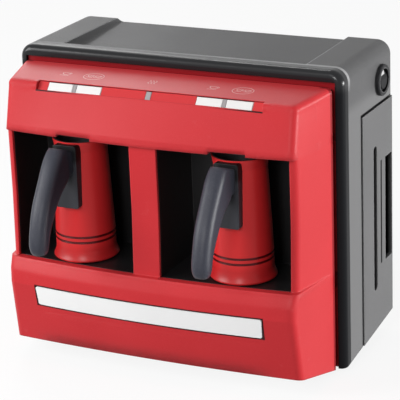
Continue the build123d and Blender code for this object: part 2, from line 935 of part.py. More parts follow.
def foam_sensor(side):
    """Foam sensor on top of the niche."""
    low = panel_low + liner_wall
    half_width = sensor_width / 2
    half_depth = sensor_depth / 2
    body = block(-half_width, half_width, -half_depth, half_depth, low, low + sensor_rise)
    return at_pot(side) * fillet(body.edges().filter_by(Axis.Z), sensor_depth / 8)


def sensor_lens(side):
    """Lens of the foam sensor in the niche's ceiling."""
    low = panel_low - lens_drop
    lens = upright_rod(0, 0, low, panel_low + liner_wall, lens_radius)
    return at_pot(side) * fillet(lens.edges().sort_by(Axis.Z)[0], lens_drop / 2)


def at_pot_base(side):
    """Place of one pot's foot on its hotplate."""
    return Pos(side * pot_place, pot_depth_place, hot_top)


def pot_cone(grow):
    """Plain cone of the pot's wall, grown outwards."""
    points = (
        (0, 0),
        (pot_band_radius + grow, 0),
        (pot_band_radius + grow, groove_high + groove_width),
        (pot_neck_radius + grow, pot_neck_height),
        (pot_rim_radius + grow, pot_height),
        (0, pot_height),
    )
    return revolve(Plane.XZ * make_face(Polyline(*points, close=True)), Axis.Z)


def pot_groove(height):
    """Ring cut for one groove round the pot's foot."""
    outer = upright_rod(0, 0, height, height + groove_width, pot_foot_radius + overrun)
    return outer - upright_rod(0, 0, height, height + groove_width, pot_band_radius - groove_depth)


def pot_foot():
    """Foot of the pot, flaring out in a bell curve to a short upright edge."""
    middle_radius = pot_band_radius + pot_foot_lip * pot_flare_share
    middle_height = pot_foot_edge + (pot_foot_height - pot_foot_edge) * pot_flare_share
    flare_low = (pot_foot_radius, pot_foot_edge)
    flare_high = (pot_band_radius, pot_foot_height)
    flare = ThreePointArc(flare_low, (middle_radius, middle_height), flare_high)
    step_inner = (pot_foot_radius - pot_step, 0)
    step_outer = (pot_foot_radius, pot_step)
    sole = Polyline((0, pot_foot_height), (0, 0), step_inner, step_outer, flare_low)
    lid = Line(flare_high, (0, pot_foot_height))
    return revolve(Plane.XZ * make_face(sole + flare + lid), Axis.Z)


def pot_body(side):
    """Pot: conical wall, flared foot, two grooves, flared rim, and a recess for the base disc."""
    form = pot_foot() + pot_cone(0) - pot_groove(groove_low) - pot_groove(groove_high)
    inner = pot_cone(-pot_wall - groove_depth) - upright_rod(0, 0, 0, pot_floor_height, pot_foot_radius)
    recess = upright_rod(0, 0, 0, disc_wall - disc_ledge, pot_foot_radius - disc_ledge)
    return at_pot_base(side) * (form - inner - recess)


def pot_disc(side):
    """Steel disc set in the pot's foot, standing level with its edge."""
    return at_pot_base(side) * upright_rod(0, 0, 0, disc_wall - disc_ledge, pot_foot_radius - disc_ledge - fit)


def handle_mount(side):
    """Saddle on the pot's wall with a tenon for the handle."""
    pad = block(-mount_half, mount_half, mount_front, 0, mount_low, mount_high)
    pad = fillet(pad.edges().filter_by(Axis.Y), mount_round)
    tenon = block(-tenon_half, tenon_half, mount_front - tenon_reach, mount_front, tenon_low, tenon_high)
    drill = upright_rod(0, grip_screw_place, tenon_low - overrun, tenon_high + overrun, screw_radius + fit)
    return at_pot_base(side) * (pad + tenon - pot_cone(fit) - drill)


def grip_form():
    """Handle's form: rounded sections along the falling curve."""
    shares = zip(grip_reach_shares, grip_drop_shares)
    path = [Vector(0, mount_front - reach * grip_reach, grip_top - drop * grip_drop) for reach, drop in shares]
    sections = []
    for number, place in enumerate(path):
        before = path[max(number - 1, 0)]
        after = path[min(number + 1, len(path) - 1)]
        along = Vector(0, -1, 0) if number == 0 else after - before
        width = grip_width * grip_width_shares[number]
        depth = grip_depth * grip_depth_shares[number]
        plane = Plane(origin=place, x_dir=(1, 0, 0), z_dir=along)
        sections.append(plane * RectangleRounded(width, depth, min(width, depth) * grip_round_share))
    return loft(sections)


def above_grip():
    """Everything over the handle's flat top."""
    near_height = pot_height - grip_top_drop
    far = mount_front - 2 * grip_reach
    far_height = near_height + (mount_front - far) * grip_top_fall_share
    high = far_height + overrun
    points = ((mount_front, near_height), (far, far_height), (far, high), (mount_front, high))
    return side_outline(points, -grip_width, grip_width)


def pot_handle(side):
    """Handle with a flat top, a socket for the saddle's tenon and a sunk screw hole."""
    half = tenon_half + fit
    reach = mount_front - tenon_reach - fit
    socket = block(-half, half, reach, mount_front, tenon_low - fit, tenon_high + fit)
    drill = upright_rod(0, grip_screw_place, 0, tenon_low + fit, screw_radius + fit)
    drill += upright_rod(0, grip_screw_place, 0, grip_screw_seat, screw_head_radius + fit)
    return at_pot_base(side) * (grip_form() - above_grip() - socket - drill)


def handle_screw(side):
    """Screw that holds the handle from below."""
    return at_pot_base(side) * Pos(0, grip_screw_place, grip_screw_seat) * screw(grip_screw_rise)


def button_places():
    """Places of the four buttons along the slot."""
    return {
        "button_left_outer": -button_place_outer,
        "button_left_inner": -button_place_inner,
        "button_right_inner": button_place_inner,
        "button_right_outer": button_place_outer,
    }


def indicator_places():
    """Places and widths of the three indicators along the slot."""
    between = (button_place_inner + button_place_outer) / 2
    return {
        "indicator_left": (-between, indicator_width),
        "indicator_centre": (0, indicator_centre_width),
        "indicator_right": (between, indicator_width),
    }


def control_button(place):
    """Push button: a bar with soft edges, and a stem that reaches its switch."""
    bar = Box(button_width, slot_height - 2 * button_gap, button_wall)
    bar = fillet(bar.faces().sort_by(Axis.Z)[-1].edges(), button_round)
    cap = slot_plane.location * Pos(place, 0, -button_depth - button_wall / 2) * bar
    return cap + slot_rod(place, button_depth + button_wall / 2, stem_reach, stem_radius)


def control_trim():
    """Bar in the slot: red end blocks and middle bars on a back plate with posts for the control board."""
    height = slot_height - 2 * fit
    trim = in_slot(0, plate_depth, plate_depth + plate_wall, slot_length - 2 * fit, height)
    outer_edge = button_place_outer + button_width / 2 + fit
    inner_edge = button_place_inner - button_width / 2 - fit
    centre_edge = indicator_centre_width / 2 + fit
    spans = ((outer_edge, slot_length / 2 - fit), (centre_edge, inner_edge))
    for side in sides.values():
        for low, high in spans:
            trim += in_slot(side * (low + high) / 2, trim_depth, plate_depth, high - low, height)
        for place in (post_place_inner, post_place_outer):
            trim += slot_rod(side * place, plate_depth + plate_wall / 2, board_depth, post_radius)
    for place in button_places().values():
        trim -= slot_rod(place, 0, board_depth, stem_radius + fit)
    for place, width in indicator_places().values():
        trim -= slot_rod(place, 0, board_depth, pipe_radius + fit)
    return trim


def indicator(place, width):
    """Indicator window with a short light pipe through the trim's back plate."""
    window = in_slot(place, indicator_depth, plate_depth, width, slot_height - 2 * button_gap)
    return window + slot_rod(place, plate_depth, plate_depth + plate_wall + pipe_reach, pipe_radius)


def control_board():
    """Control board behind the slot."""
    length = slot_length - 2 * board_margin
    return in_slot(0, board_depth, board_depth + board_wall, length, board_height)


def button_switches():
    """Four small switches under the buttons' stems."""
    bodies = []
    for place in button_places().values():
        body = in_slot(place, board_depth - switch_wall, board_depth, switch_width, switch_height)
        bodies.append(body + slot_rod(place, plunger_depth, board_depth, plunger_radius))
    return Compound(bodies)


def indicator_lamps():
    """Three lamps behind the indicators."""
    places = [place for place, width in indicator_places().values()]
    return Compound([slot_rod(place, board_depth - lamp_rise, board_depth, lamp_radius) for place in places])


def buzzer():
    """Buzzer on the back of the control board."""
    floor = board_depth + board_wall
    body = slot_rod(buzzer_place, floor, floor + buzzer_rise, buzzer_radius)
    return body - slot_rod(buzzer_place, floor + buzzer_rise / 2, floor + buzzer_rise, stem_radius)


def switch_bezel():
    """Raised round bezel of the power switch, with its sleeve through the housing's side."""
    outer = housing_half + bezel_proud
    ring = side_rod(power_place, power_height, housing_half, outer, bezel_radius)
    ring = fillet(ring.edges().sort_by(Axis.X)[-1], bezel_proud / 3)
    ring += side_rod(power_place, power_height, housing_half - sleeve_reach, housing_half, sleeve_radius)
    bore = sleeve_radius - sleeve_wall
    return ring - side_rod(power_place, power_height, housing_half - overrun, outer + overrun, bore)


def power_rocker():
    """Rocker: a ball with a ridge across its face, its upper half pressed in."""
    radius = rocker_radius
    ball = Sphere(radius)
    lean = radians(rocker_tilt)
    edge = rocker_crest - radius * sin(lean)
    points = ((-radius, -radius), (edge, -radius), (rocker_crest, 0), (edge, radius), (-radius, radius))
    face = Plane.XZ * make_face(Polyline(*points, close=True))
    ridge = Pos(0, radius, 0) * extrude(face, radius + radius)
    pivot = housing_half - rocker_pivot
    return Pos(pivot, power_place, power_height) * Rot(0, -rocker_tilt, 0) * (ball & ridge)


def switch_body():
    """Body of the power switch inside the housing."""
    near = housing_half - sleeve_reach
    half = switch_body_half
    y0 = power_place - half
    z0 = power_height - half
    body = block(near - switch_body_reach, near, y0, y0 + 2 * half, z0, z0 + 2 * half)
    return fillet(body.edges().filter_by(Axis.X), half / 4)


def cord_gland():
    """Round gland in the rear cover where a supply cord enters."""
    inner = cover_rear - cover_wall
    ring = back_rod(gland_place, gland_height, cover_rear, cover_rear + gland_wall, gland_radius)
    ring = fillet(ring.edges().sort_by(Axis.Y)[-1], gland_wall / 3)
    ring += back_rod(gland_place, gland_height, inner - gland_wall, cover_rear, gland_neck_radius)
    ring += back_rod(gland_place, gland_height, inner - gland_wall, inner, gland_radius)
    far = cover_rear + overrun
    return ring - back_rod(gland_place, gland_height, inner - overrun, far, gland_bore_radius)


def nodes():
    """Every named piece of the machine."""
    pieces = {
        "front_fascia": front_fascia(),
        "main_housing": main_housing(),
        "rear_cover": rear_cover(),
        "base_plate": base_plate(),
        "feet": feet(),
        "name_strip": name_strip(),
        "control_trim": control_trim(),
        "control_board": control_board(),
        "button_switches": button_switches(),
        "indicator_lamps": indicator_lamps(),
        "buzzer": buzzer(),
        "switch_bezel": switch_bezel(),
        "power_rocker": power_rocker(),
        "switch_body": switch_body(),
        "cord_gland": cord_gland(),
        "power_board": power_board(),
        "transformer": transformer(),
        "relays": relays(),
        "base_screws": base_screws(),
        "cover_screws": cover_screws(),
        "board_screws": board_screws(),
    }
    for name, place in button_places().items():
        pieces[name] = control_button(place)
    for name, (place, width) in indicator_places().items():
        pieces[name] = indicator(place, width)
    per_niche = {
        "niche_liner": niche_liner,
        "hotplate": hotplate,
        "hotplate_seal": hotplate_seal,
        "heater_ring": heater_ring,
        "heat_probe": heat_probe,
        "heater_bracket": heater_bracket,
        "foam_sensor": foam_sensor,
        "sensor_lens": sensor_lens,
        "pot_body": pot_body,
        "pot_disc": pot_disc,
        "handle_mount": handle_mount,
        "pot_handle": pot_handle,
        "handle_screw": handle_screw,
    }
    for name, make in per_niche.items():
        for word, side in sides.items():
            pieces[f"{name}_{word}"] = make(side)
    return pieces


def middle_depth(pieces):
    """Place midway between the foremost and the rearmost point of all pieces."""
    boxes = [piece.bounding_box() for piece in pieces.values()]
    return (min(box.min.Y for box in boxes) + max(box.max.Y for box in boxes)) / 2


os.makedirs("parts", exist_ok=True)
finished = nodes()
centring = Pos(0, -middle_depth(finished), 0)
for node, shape in finished.items():
    export_step(centring * shape, f"parts/{node}.step")
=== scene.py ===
from math import cos, pi, radians, sin

import bpy
import numpy as np
from mathutils import Matrix, Vector


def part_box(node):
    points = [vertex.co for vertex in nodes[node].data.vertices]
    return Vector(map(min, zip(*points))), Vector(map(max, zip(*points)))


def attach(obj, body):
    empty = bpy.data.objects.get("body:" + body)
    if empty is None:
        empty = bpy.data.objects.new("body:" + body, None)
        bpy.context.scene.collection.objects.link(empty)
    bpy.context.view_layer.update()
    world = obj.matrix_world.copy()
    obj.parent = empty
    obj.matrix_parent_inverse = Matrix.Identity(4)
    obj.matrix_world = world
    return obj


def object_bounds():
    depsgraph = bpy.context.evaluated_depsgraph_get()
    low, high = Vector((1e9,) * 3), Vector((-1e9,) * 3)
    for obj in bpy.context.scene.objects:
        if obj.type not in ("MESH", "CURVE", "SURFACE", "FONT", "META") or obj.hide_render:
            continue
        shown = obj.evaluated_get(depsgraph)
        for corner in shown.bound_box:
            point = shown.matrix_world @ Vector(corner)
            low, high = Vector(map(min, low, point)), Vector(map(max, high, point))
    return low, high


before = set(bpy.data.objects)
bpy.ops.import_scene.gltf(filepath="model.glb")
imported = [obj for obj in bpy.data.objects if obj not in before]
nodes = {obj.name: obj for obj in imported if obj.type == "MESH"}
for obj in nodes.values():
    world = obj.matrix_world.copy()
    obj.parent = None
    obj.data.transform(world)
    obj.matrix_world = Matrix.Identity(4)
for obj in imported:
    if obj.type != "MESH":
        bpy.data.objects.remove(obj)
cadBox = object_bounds()
scene = bpy.context.scene
print("frame loaded:", len(nodes), "nodes")


# a socket that is added, subtracted and multiplied like a number
class Sock:
    def __init__(self, graph, link):
        self.graph = graph
        self.link = link

    def math(self, kind, *others):
        return self.graph.add("Math", {"operation": kind}, dict(enumerate((self, *others))))

    def flipped(self, kind, other):
        return self.graph.add("Math", {"operation": kind}, {0: other, 1: self})

    def __add__(self, other):
        return self.math("ADD", other)

    def __radd__(self, other):
        return self.flipped("ADD", other)

    def __sub__(self, other):
        return self.math("SUBTRACT", other)

    def __rsub__(self, other):
        return self.flipped("SUBTRACT", other)

    def __mul__(self, other):
        return self.math("MULTIPLY", other)

    def __rmul__(self, other):
        return self.flipped("MULTIPLY", other)

    def __abs__(self):
        return self.math("ABSOLUTE")

    def least(self, other):
        return self.math("MINIMUM", other)

    def most(self, other):
        return self.math("MAXIMUM", other)

    def root(self):
        return self.math("SQRT")

    def sine(self):
        return self.math("SINE")

    # a sine that runs between 0 and 1
    def wave(self):
        return self.sine() * 0.5 + 0.5

    # a noise about its middle, made stronger or weaker
    def swing(self, strength):
        return (self - 0.5) * strength

    # start below low, end above high, smooth between them
    def ramp(self, low, high, start=0.0, end=1.0):
        settings = {"interpolation_type": "SMOOTHSTEP"}
        return self.graph.add("MapRange", settings, {0: self, 1: low, 2: high, 3: start, 4: end})

    # 1 up to low, 0 from high on
    def fade(self, low, high):
        return self.ramp(low, high, 1.0, 0.0)

    # 1 past a place, eased in over a short way on both sides of it
    def past(self, place, ease):
        return self.ramp(place - ease, place + ease)

    def before(self, place, ease):
        return self.fade(place - ease, place + ease)

    def between(self, low, high, ease):
        return self.past(low, ease) * self.before(high, ease)


# a node tree, emptied and ready to be filled
class Graph:
    def __init__(self, tree):
        self.tree = tree
        self.tree.nodes.clear()

    # any node: its type, its settings, the values or links of its sockets, and the output wanted
    def add(self, kind, settings, sockets, out=0):
        node = self.tree.nodes.new("ShaderNode" + kind)
        for key, value in settings.items():
            setattr(node, key, value)
        for key, value in sockets.items():
            if isinstance(value, Sock):
                self.tree.links.new(value.link, node.inputs[key])
            else:
                node.inputs[key].default_value = value
        return Sock(self, node.outputs[out])

    def sibling(self, sock, out):
        return Sock(self, sock.link.node.outputs[out])

    # 1 where the camera, a shiny face or glass looks at it, 0 for the light that it sends on
    def looked(self):
        camera = self.add("LightPath", {}, {}, "Is Camera Ray")
        mirrored = self.sibling(camera, "Is Glossy Ray")
        through = self.sibling(camera, "Is Transmission Ray")
        return (camera + mirrored + through).least(1.0)


softEdge = {
    "samples": 6,
    "lean": 0.16,  # 1 less the cosine of the lean at which an edge counts in full
}


# one material: a Principled shader and whatever feeds it
class Finish(Graph):
    def __init__(self, name):
        self.material = bpy.data.materials.new(name)
        self.material.use_nodes = True
        super().__init__(self.material.node_tree)
        self.shader = self.tree.nodes.new("ShaderNodeBsdfPrincipled")
        self.out = self.tree.nodes.new("ShaderNodeOutputMaterial")
        self.tree.links.new(self.shader.outputs[0], self.out.inputs["Surface"])
        self.here = self.add("TexCoord", {}, {}, "Object")
        self.x = self.add("SeparateXYZ", {}, {0: self.here}, 0)
        self.y = self.sibling(self.x, 1)
        self.z = self.sibling(self.x, 2)

    def noise(self, scale, detail, rough=0.5, stretch=None):
        place = self.here
        if stretch:
            place = self.add("Mapping", {}, {"Vector": self.here, "Scale": stretch})
        sockets = {"Vector": place, "Scale": scale, "Detail": detail, "Roughness": rough}
        return self.add("TexNoise", {}, sockets, "Fac")

    # two colours, each a tuple or a socket; a Mix node has them at 6 and 7
    def mix(self, factor, under, over):
        settings = {"data_type": "RGBA", "clamp_factor": True}
        sides = {0: factor, 6: under, 7: over}
        for key in (6, 7):
            if not isinstance(sides[key], Sock):
                sides[key] = (*sides[key], 1)
        return self.add("Mix", settings, sides, 2)

    def soft(self, radius):
        return self.add("Bevel", {"samples": softEdge["samples"]}, {"Radius": radius}, "Normal")

    # eases one normal into another by a mask
    def ease(self, mask, first, second):
        settings = {"data_type": "VECTOR", "clamp_factor": True}
        both = self.add("Mix", settings, {0: mask, 4: first, 5: second}, 1)
        return self.add("VectorMath", {"operation": "NORMALIZE"}, {0: both})

    def bump(self, height, depth, normal):
        sockets = {"Height": height, "Distance": depth, "Strength": 1.0, "Normal": normal}
        return self.add("Bump", {}, sockets, "Normal")

    # how far the softened normal leaves the flat one: 0 on faces, up to 1 on edges
    def edge(self, normal):
        flat = self.add("NewGeometry", {}, {}, "Normal")
        along = self.add("VectorMath", {"operation": "DOT_PRODUCT"}, {0: normal, 1: flat}, "Value")
        return (1 - along).ramp(0.0, softEdge["lean"])

    def feed(self, **sockets):
        for key, value in sockets.items():
            target = self.shader.inputs[key.replace("_", " ")]
            if isinstance(value, Sock):
                self.tree.links.new(value.link, target)
            else:
                target.default_value = value

    def dress(self, *names):
        for name in names:
            part = nodes[name].data
            part.materials.clear()
            part.materials.append(self.material)


def pair(word):
    return word + "_left", word + "_right"


# distance from the upright axis through the middle of a node
def fromAxis(f, name):
    low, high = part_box(name)
    dx = f.x - (low.x + high.x) / 2
    dy = f.y - (low.y + high.y) / 2
    return (dx * dx + dy * dy).root()


# what all moulded plastic shares: noises, where they set in, and how strong they are
mould = {
    "blotch": (14.0, 3.0),  # scale and detail
    "blotchSpan": (0.3, 0.7),
    "blotchShare": 0.5,
    "blotchRough": 0.1,
    "speck": (2600.0, 1.0),
    "speckSpan": (0.56, 0.75),
    "sparkle": 0.25,
    "grainDetail": (2.0, 0.6),
    "grainRough": 0.12,
}


# moulded plastic: slow blotches and fine specks in the colour, edges painted light as wear and as painted
# highlight, grain in the bump
def moulded(f, look, normal=None):
    look = {**mould, **look}
    rounded = f.soft(look["edge"])
    blotch = f.noise(*look["blotch"])
    speck = f.noise(*look["speck"])
    grain = f.noise(look["grain"], *look["grainDetail"])
    shade = f.mix(blotch.ramp(*look["blotchSpan"]) * look["blotchShare"], look["colour"], look["deep"])
    shade = f.mix(speck.ramp(*look["speckSpan"]) * look["sparkle"], shade, look["light"])
    # edges painted light: partly wear, partly painted highlight along the edges
    shade = f.mix(f.edge(rounded) * look["wear"], shade, look["light"])
    rough = look["rough"] + grain.swing(look["grainRough"]) + blotch.swing(look["blotchRough"])
    return shade, rough, f.bump(grain, look["depth"], normal or rounded)


# a moulded finish with no marks of its own
def cast(name, look, *pieces, **sockets):
    f = Finish(name)
    shade, rough, normal = moulded(f, look)
    f.feed(Base_Color=shade, Roughness=rough, Normal=normal, **sockets)
    f.dress(*pieces)


# the slanted face that holds the button slot: a point on it, its tilt, and half the slot with its ease
slotFace = {
    "y": -0.0454,
    "z": 0.2286,
    "tilt": radians(40.0),
    "halfLength": (0.0965, 0.0003),
    "halfHeight": (0.0045, 0.0002),
}


# how deep under that face
def slotDepth(f):
    return (f.y - slotFace["y"]) * cos(slotFace["tilt"]) - (f.z - slotFace["z"]) * sin(slotFace["tilt"])


# how far up along that face from the middle of the slot
def slotRise(f):
    return (f.y - slotFace["y"]) * sin(slotFace["tilt"]) + (f.z - slotFace["z"]) * cos(slotFace["tilt"])


redPlastic = {
    "light": (0.74, 0.10, 0.11),
    "slotShade": (0.045, 0.004, 0.005),
    "rough": 0.36,
    "grain": 900.0,
    "depth": 0.000012,
    "wear": 0.35,
    "sparkle": 0.3,
    "shine": 0.16,
}

redFront = {
    **redPlastic,
    "colour": (0.59, 0.031, 0.038),
    "deep": (0.53, 0.025, 0.031),
    "edge": 0.0014,
    "dust": (60.0, 4.0, 0.7),
    "dustSpan": (0.62, 0.8),
    "dustShare": 0.06,
    "dustColour": (0.75, 0.45, 0.44),
    # how widely each kind of bend is rounded
    "cornerEdge": 0.0022,
    "wideEdge": 0.007,
    "skirtEdge": 0.018,
    # where the bends are; the last number of each is its ease
    "sill": (-0.0134, 0.0003, 0.001),  # heights over the niches' floor
    "lintel": (-0.0026, 0.0039, 0.0008),  # heights over the niches' top
    "browSides": (0.0998, 0.119, 0.0012),  # beside the slot as far as the corner
    "browFoot": (0.0279, 0.002),  # height over the niches' top
    "browBack": (-0.034, 0.002),
    "corner": (0.1175, 0.001),
    "cornerBack": (-0.008, 0.001),
    "crispLow": (0.0086, 0.001),  # beside the niches the corner stays crisp
    "crispHigh": (-0.0006, 0.001),
    "skirt": (-0.0055, 0.002),  # height from the strip's lower edge
    "skirtEnd": (0.072, 0.116),  # it fades on the way out
    # places of painted shade, most with their ease last; depths are where the shade starts and where it is
    # full
    "neck": (-0.0026, 0.0004),
    "hem": (-0.0054, 0.0004),  # painted shade on the rear edge of both sides
    "hemSides": (0.124, 0.002),
    "neckShade": (0.26, 0.009, 0.013),
    "slotDepth": (0.0006, 0.0016),
    "lip": (-0.0052, -0.0041, 0.0001),  # painted shadow line along the slot's lower edge
    "lipDepth": (0.0006, 0.0010),
    "pocket": (0.0013, 0.0002),  # painted shade in the gap round the strip
}


# long bends are eased more widely than the edges of the slot, the strip and the niches
def easeFront(f, look):
    floor, top = (corner.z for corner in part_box("niche_liner_right"))
    overFloor, overTop, out = f.z - floor, f.z - top, abs(f.x)
    sill = overFloor.between(*look["sill"])
    lintel = overTop.between(*look["lintel"])
    brow = out.between(*look["browSides"]) * overTop.past(*look["browFoot"]) * f.y.before(*look["browBack"])
    crisp = overFloor.past(*look["crispLow"]) * overTop.before(*look["crispHigh"])
    corner = out.past(*look["corner"]) * f.y.before(*look["cornerBack"]) * (1 - crisp)
    fromStrip = f.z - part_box("name_strip")[0].z
    skirt = fromStrip.before(*look["skirt"]) * out.fade(*look["skirtEnd"])
    normal = f.ease(corner, f.soft(look["edge"]), f.soft(look["cornerEdge"]))
    normal = f.ease(sill.most(brow).most(lintel), normal, f.soft(look["wideEdge"]))
    return f.ease(skirt, normal, f.soft(look["skirtEdge"]))


# painted shade where the front goes into the housing, in the button slot and round the strip
def shadeFront(f, look, shade):
    out = abs(f.x)
    hem = f.y.past(*look["hem"]) * out.past(*look["hemSides"])
    shade = f.mix(f.y.past(*look["neck"]).most(hem), shade, look["neckShade"])
    depth, rise = slotDepth(f), slotRise(f)
    slot = abs(rise).before(*slotFace["halfHeight"]) * depth.ramp(*look["slotDepth"])
    lip = rise.between(*look["lip"]) * abs(depth).fade(*look["lipDepth"])
    shade = f.mix(out.before(*slotFace["halfLength"]) * slot.most(lip), shade, look["slotShade"])
    low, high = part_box("name_strip")
    gap, ease = look["pocket"]
    pocket = out.before(high.x + gap, ease) * f.z.between(low.z - gap, high.z + gap, ease)
    return f.mix(pocket, shade, look["slotShade"])


def paintFront():
    look = redFront
    f = Finish("red_front")
    shade, rough, normal = moulded(f, look, easeFront(f, look))
    dust = f.noise(*look["dust"]).ramp(*look["dustSpan"]) * look["dustShare"]
    shade = shadeFront(f, look, f.mix(dust, shade, look["dustColour"]))
    f.feed(Base_Color=shade, Roughness=rough, Normal=normal, Specular_IOR_Level=look["shine"])
    f.dress("front_fascia")


redTrim = {
    **redPlastic,
    "colour": (0.64, 0.045, 0.05),
    "deep": (0.57, 0.037, 0.042),
    "edge": 0.0006,
    "slotDepth": (0.0015, 0.0030),
}


def paintTrim():
    look = redTrim
    f = Finish("red_trim")
    shade, rough, normal = moulded(f, look)
    # painted shade: the trim darkens deeper in the slot
    shade = f.mix(slotDepth(f).ramp(*look["slotDepth"]), shade, look["slotShade"])
    f.feed(Base_Color=shade, Roughness=rough, Normal=normal, Specular_IOR_Level=look["shine"])
    f.dress("control_trim")


charcoal = {
    "colour": (0.106, 0.106, 0.108),
    "deep": (0.094, 0.094, 0.096),
    "light": (0.50, 0.50, 0.505),
    "rough": 0.36,
    "shine": 0.05,
    "grain": 1500.0,
    "depth": 0.00003,
    "edge": 0.0014,
    # strong pale edges: partly wear, partly painted highlight lines along the edges
    "wear": 0.75,
}

# places are measured from the housing's front, top and side; the last number of most is an ease
housingGrey = {
    **charcoal,
    "side": (-0.002, 0.001),
    "sideTop": (-0.0325, 0.006),
    "sideSheen": (0.165, 0.165, 0.167),
    "rim": (0.01095, 0.01475, 0.0006),  # painted highlight on the edge between the nose and the tray
    "rimFoot": (-0.0205, -0.0065),
    "rimHighlightWay": (-0.12, 0.12),  # from left to right the painted highlight grows paler
    "rimHighlights": ((0.17, 0.17, 0.175), (0.36, 0.36, 0.365)),
    "nose": (0.01095, 0.0006),
    "noseColour": (0.010, 0.0105, 0.012),
    "nosePolish": 0.06,
    "gloss": 0.4,
    "glossFoot": (-0.0145, 0.004),
    "glossRough": 0.22,
    "seamFront": (-0.00235, 0.0002),  # from the rear cover: painted shade on what it hides, seen only through its seam
    "seamTop": (0.0022, 0.0002),
    "seamShade": (0.008, 0.008, 0.0085),
}


def paintHousing():
    look = housingGrey
    f = Finish("charcoal_housing")
    shade, rough, normal = moulded(f, look)
    low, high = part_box("main_housing")
    out, back, fromTop = abs(f.x) - high.x, f.y - low.y, f.z - high.z
    # painted sheen: the side face is paler than the top
    side = out.past(*look["side"]) * fromTop.before(*look["sideTop"])
    shade = f.mix(side, shade, look["sideSheen"])
    # painted highlight along the rim, brighter toward the right
    rim = back.between(*look["rim"]) * fromTop.ramp(*look["rimFoot"])
    shade = f.mix(rim, shade, f.mix(f.x.ramp(*look["rimHighlightWay"]), *look["rimHighlights"]))
    nose = back.before(*look["nose"])
    shade = f.mix(nose, shade, look["noseColour"])
    coverLow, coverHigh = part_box("rear_cover")
    # painted shade in the seam above the rear cover
    seam = (f.y - coverLow.y).past(*look["seamFront"]) * (f.z - coverHigh.z).before(*look["seamTop"])
    shade = f.mix(seam, shade, look["seamShade"])
    gloss = nose * fromTop.past(*look["glossFoot"]) * look["gloss"]
    f.feed(Base_Color=shade, Roughness=rough - nose * look["nosePolish"], Normal=normal)
    f.feed(Coat_Weight=gloss, Coat_Roughness=look["glossRough"], Specular_IOR_Level=look["shine"])
    f.dress("main_housing")


# places are measured from the cover's own box; the last number is an ease
coverGrey = {
    **charcoal,
    "colour": (0.138, 0.138, 0.140),
    "deep": (0.120, 0.120, 0.122),
    "wear": 0.4,
    "sideSkin": (-0.0030, 0.0012),
    "backSkin": (-0.00325, 0.0005),
    "line": (0.03785, 0.04085, 0.0002),  # painted shade in the fine groove in front of the grip pocket
    "lineHeights": (-0.1335, -0.0460, 0.0002),
    "recess": (0.006, 0.006, 0.0065),
}


# painted shade: the side slots and grip pockets are darker under the skin of the side, and so is the fine
# groove
def paintCover():
    look = coverGrey
    f = Finish("charcoal_cover")
    shade, rough, normal = moulded(f, look)
    low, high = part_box("rear_cover")
    sunk = (abs(f.x) - high.x).before(*look["sideSkin"]) * (f.y - high.y).before(*look["backSkin"])
    line = (f.y - low.y).between(*look["line"]) * (f.z - high.z).between(*look["lineHeights"])
    shade = f.mix(sunk.most(line), shade, look["recess"])
    f.feed(Base_Color=shade, Roughness=rough, Normal=normal, Specular_IOR_Level=look["shine"])
    f.dress("rear_cover")


blackMoulded = {
    "colour": (0.022, 0.022, 0.024),
    "deep": (0.016, 0.016, 0.018),
    "light": (0.06, 0.06, 0.062),
    "rough": 0.5,
    "grain": 1200.0,
    "depth": 0.00003,
    "edge": 0.0006,
    "wear": 0.3,
}

rubber = {
    **blackMoulded,
    "colour": (0.018, 0.018, 0.018),
    "rough": 0.75,
    "grain": 2200.0,
    "depth": 0.00006,
}

blackLiner = {
    **blackMoulded,
    "colour": (0.006, 0.006, 0.0065),
    "deep": (0.004, 0.004, 0.0045),
    "light": (0.02, 0.02, 0.02),
    "rough": 0.38,
}


def paintBlacks():
    inside = ("switch_body", "button_switches", "buzzer", "relays", *pair("foam_sensor"))
    cast("black_base", blackMoulded, "base_plate", *inside)
    cast("rubber_foot", rubber, "feet", "cord_gland", *pair("hotplate_seal"))
    cast("black_liner", blackLiner, *pair("niche_liner"))


smoothPlastic = {
    "grain": 700.0,
    "depth": 0.000006,
    "wear": 0.2,
    "sparkle": 0.0,
}

stripWhite = {
    **smoothPlastic,
    "colour": (0.95, 0.955, 0.955),
    "deep": (0.92, 0.925, 0.925),
    "light": (0.97, 0.97, 0.97),
    "rough": 0.22,
    "edge": 0.0004,
    "coat": 0.3,
    "coatRough": 0.08,
}

buttonCream = {
    **smoothPlastic,
    "colour": (0.84, 0.83, 0.82),
    "deep": (0.79, 0.78, 0.77),
    "light": (0.97, 0.97, 0.97),
    "rough": 0.34,
    "edge": 0.0006,
}

windowSmoke = {
    **smoothPlastic,
    "colour": (0.36, 0.34, 0.345),
    "deep": (0.30, 0.285, 0.29),
    "light": (0.5, 0.5, 0.5),
    "rough": 0.22,
    "edge": 0.0004,
    "coat": 0.5,
    "coatRough": 0.05,
}


def lacquer(name, look, *pieces):
    cast(name, look, *pieces, Coat_Weight=look["coat"], Coat_Roughness=look["coatRough"])


def paintWhites():
    lacquer("white_strip", stripWhite, "name_strip")
    buttons = [name for name in nodes if name.startswith("button_") and name != "button_switches"]
    cast("white_button", buttonCream, *buttons)
    lacquer("grey_indicator", windowSmoke, "indicator_centre", *pair("indicator"))


potGrey = {
    "shine": 0.28,
    "grain": 1600.0,
    "depth": 0.00002,
    "edge": 0.0008,
    "wear": 0.3,
}

handleGrey = {
    **potGrey,
    "colour": (0.031, 0.033, 0.047),
    "deep": (0.026, 0.027, 0.039),
    "light": (0.26, 0.265, 0.29),
    "rough": 0.42,
    "round": 0.0035,
}

mountGrey = {
    **potGrey,
    "colour": (0.034, 0.035, 0.042),
    "deep": (0.027, 0.028, 0.034),
    "light": (0.10, 0.10, 0.11),
    "rough": 0.4,
    "shade": (0.006, 0.006, 0.007),
    "shadeFoot": (-0.0133, 0.003),  # where the painted shade on the mount's top starts: from the top, with its ease
}


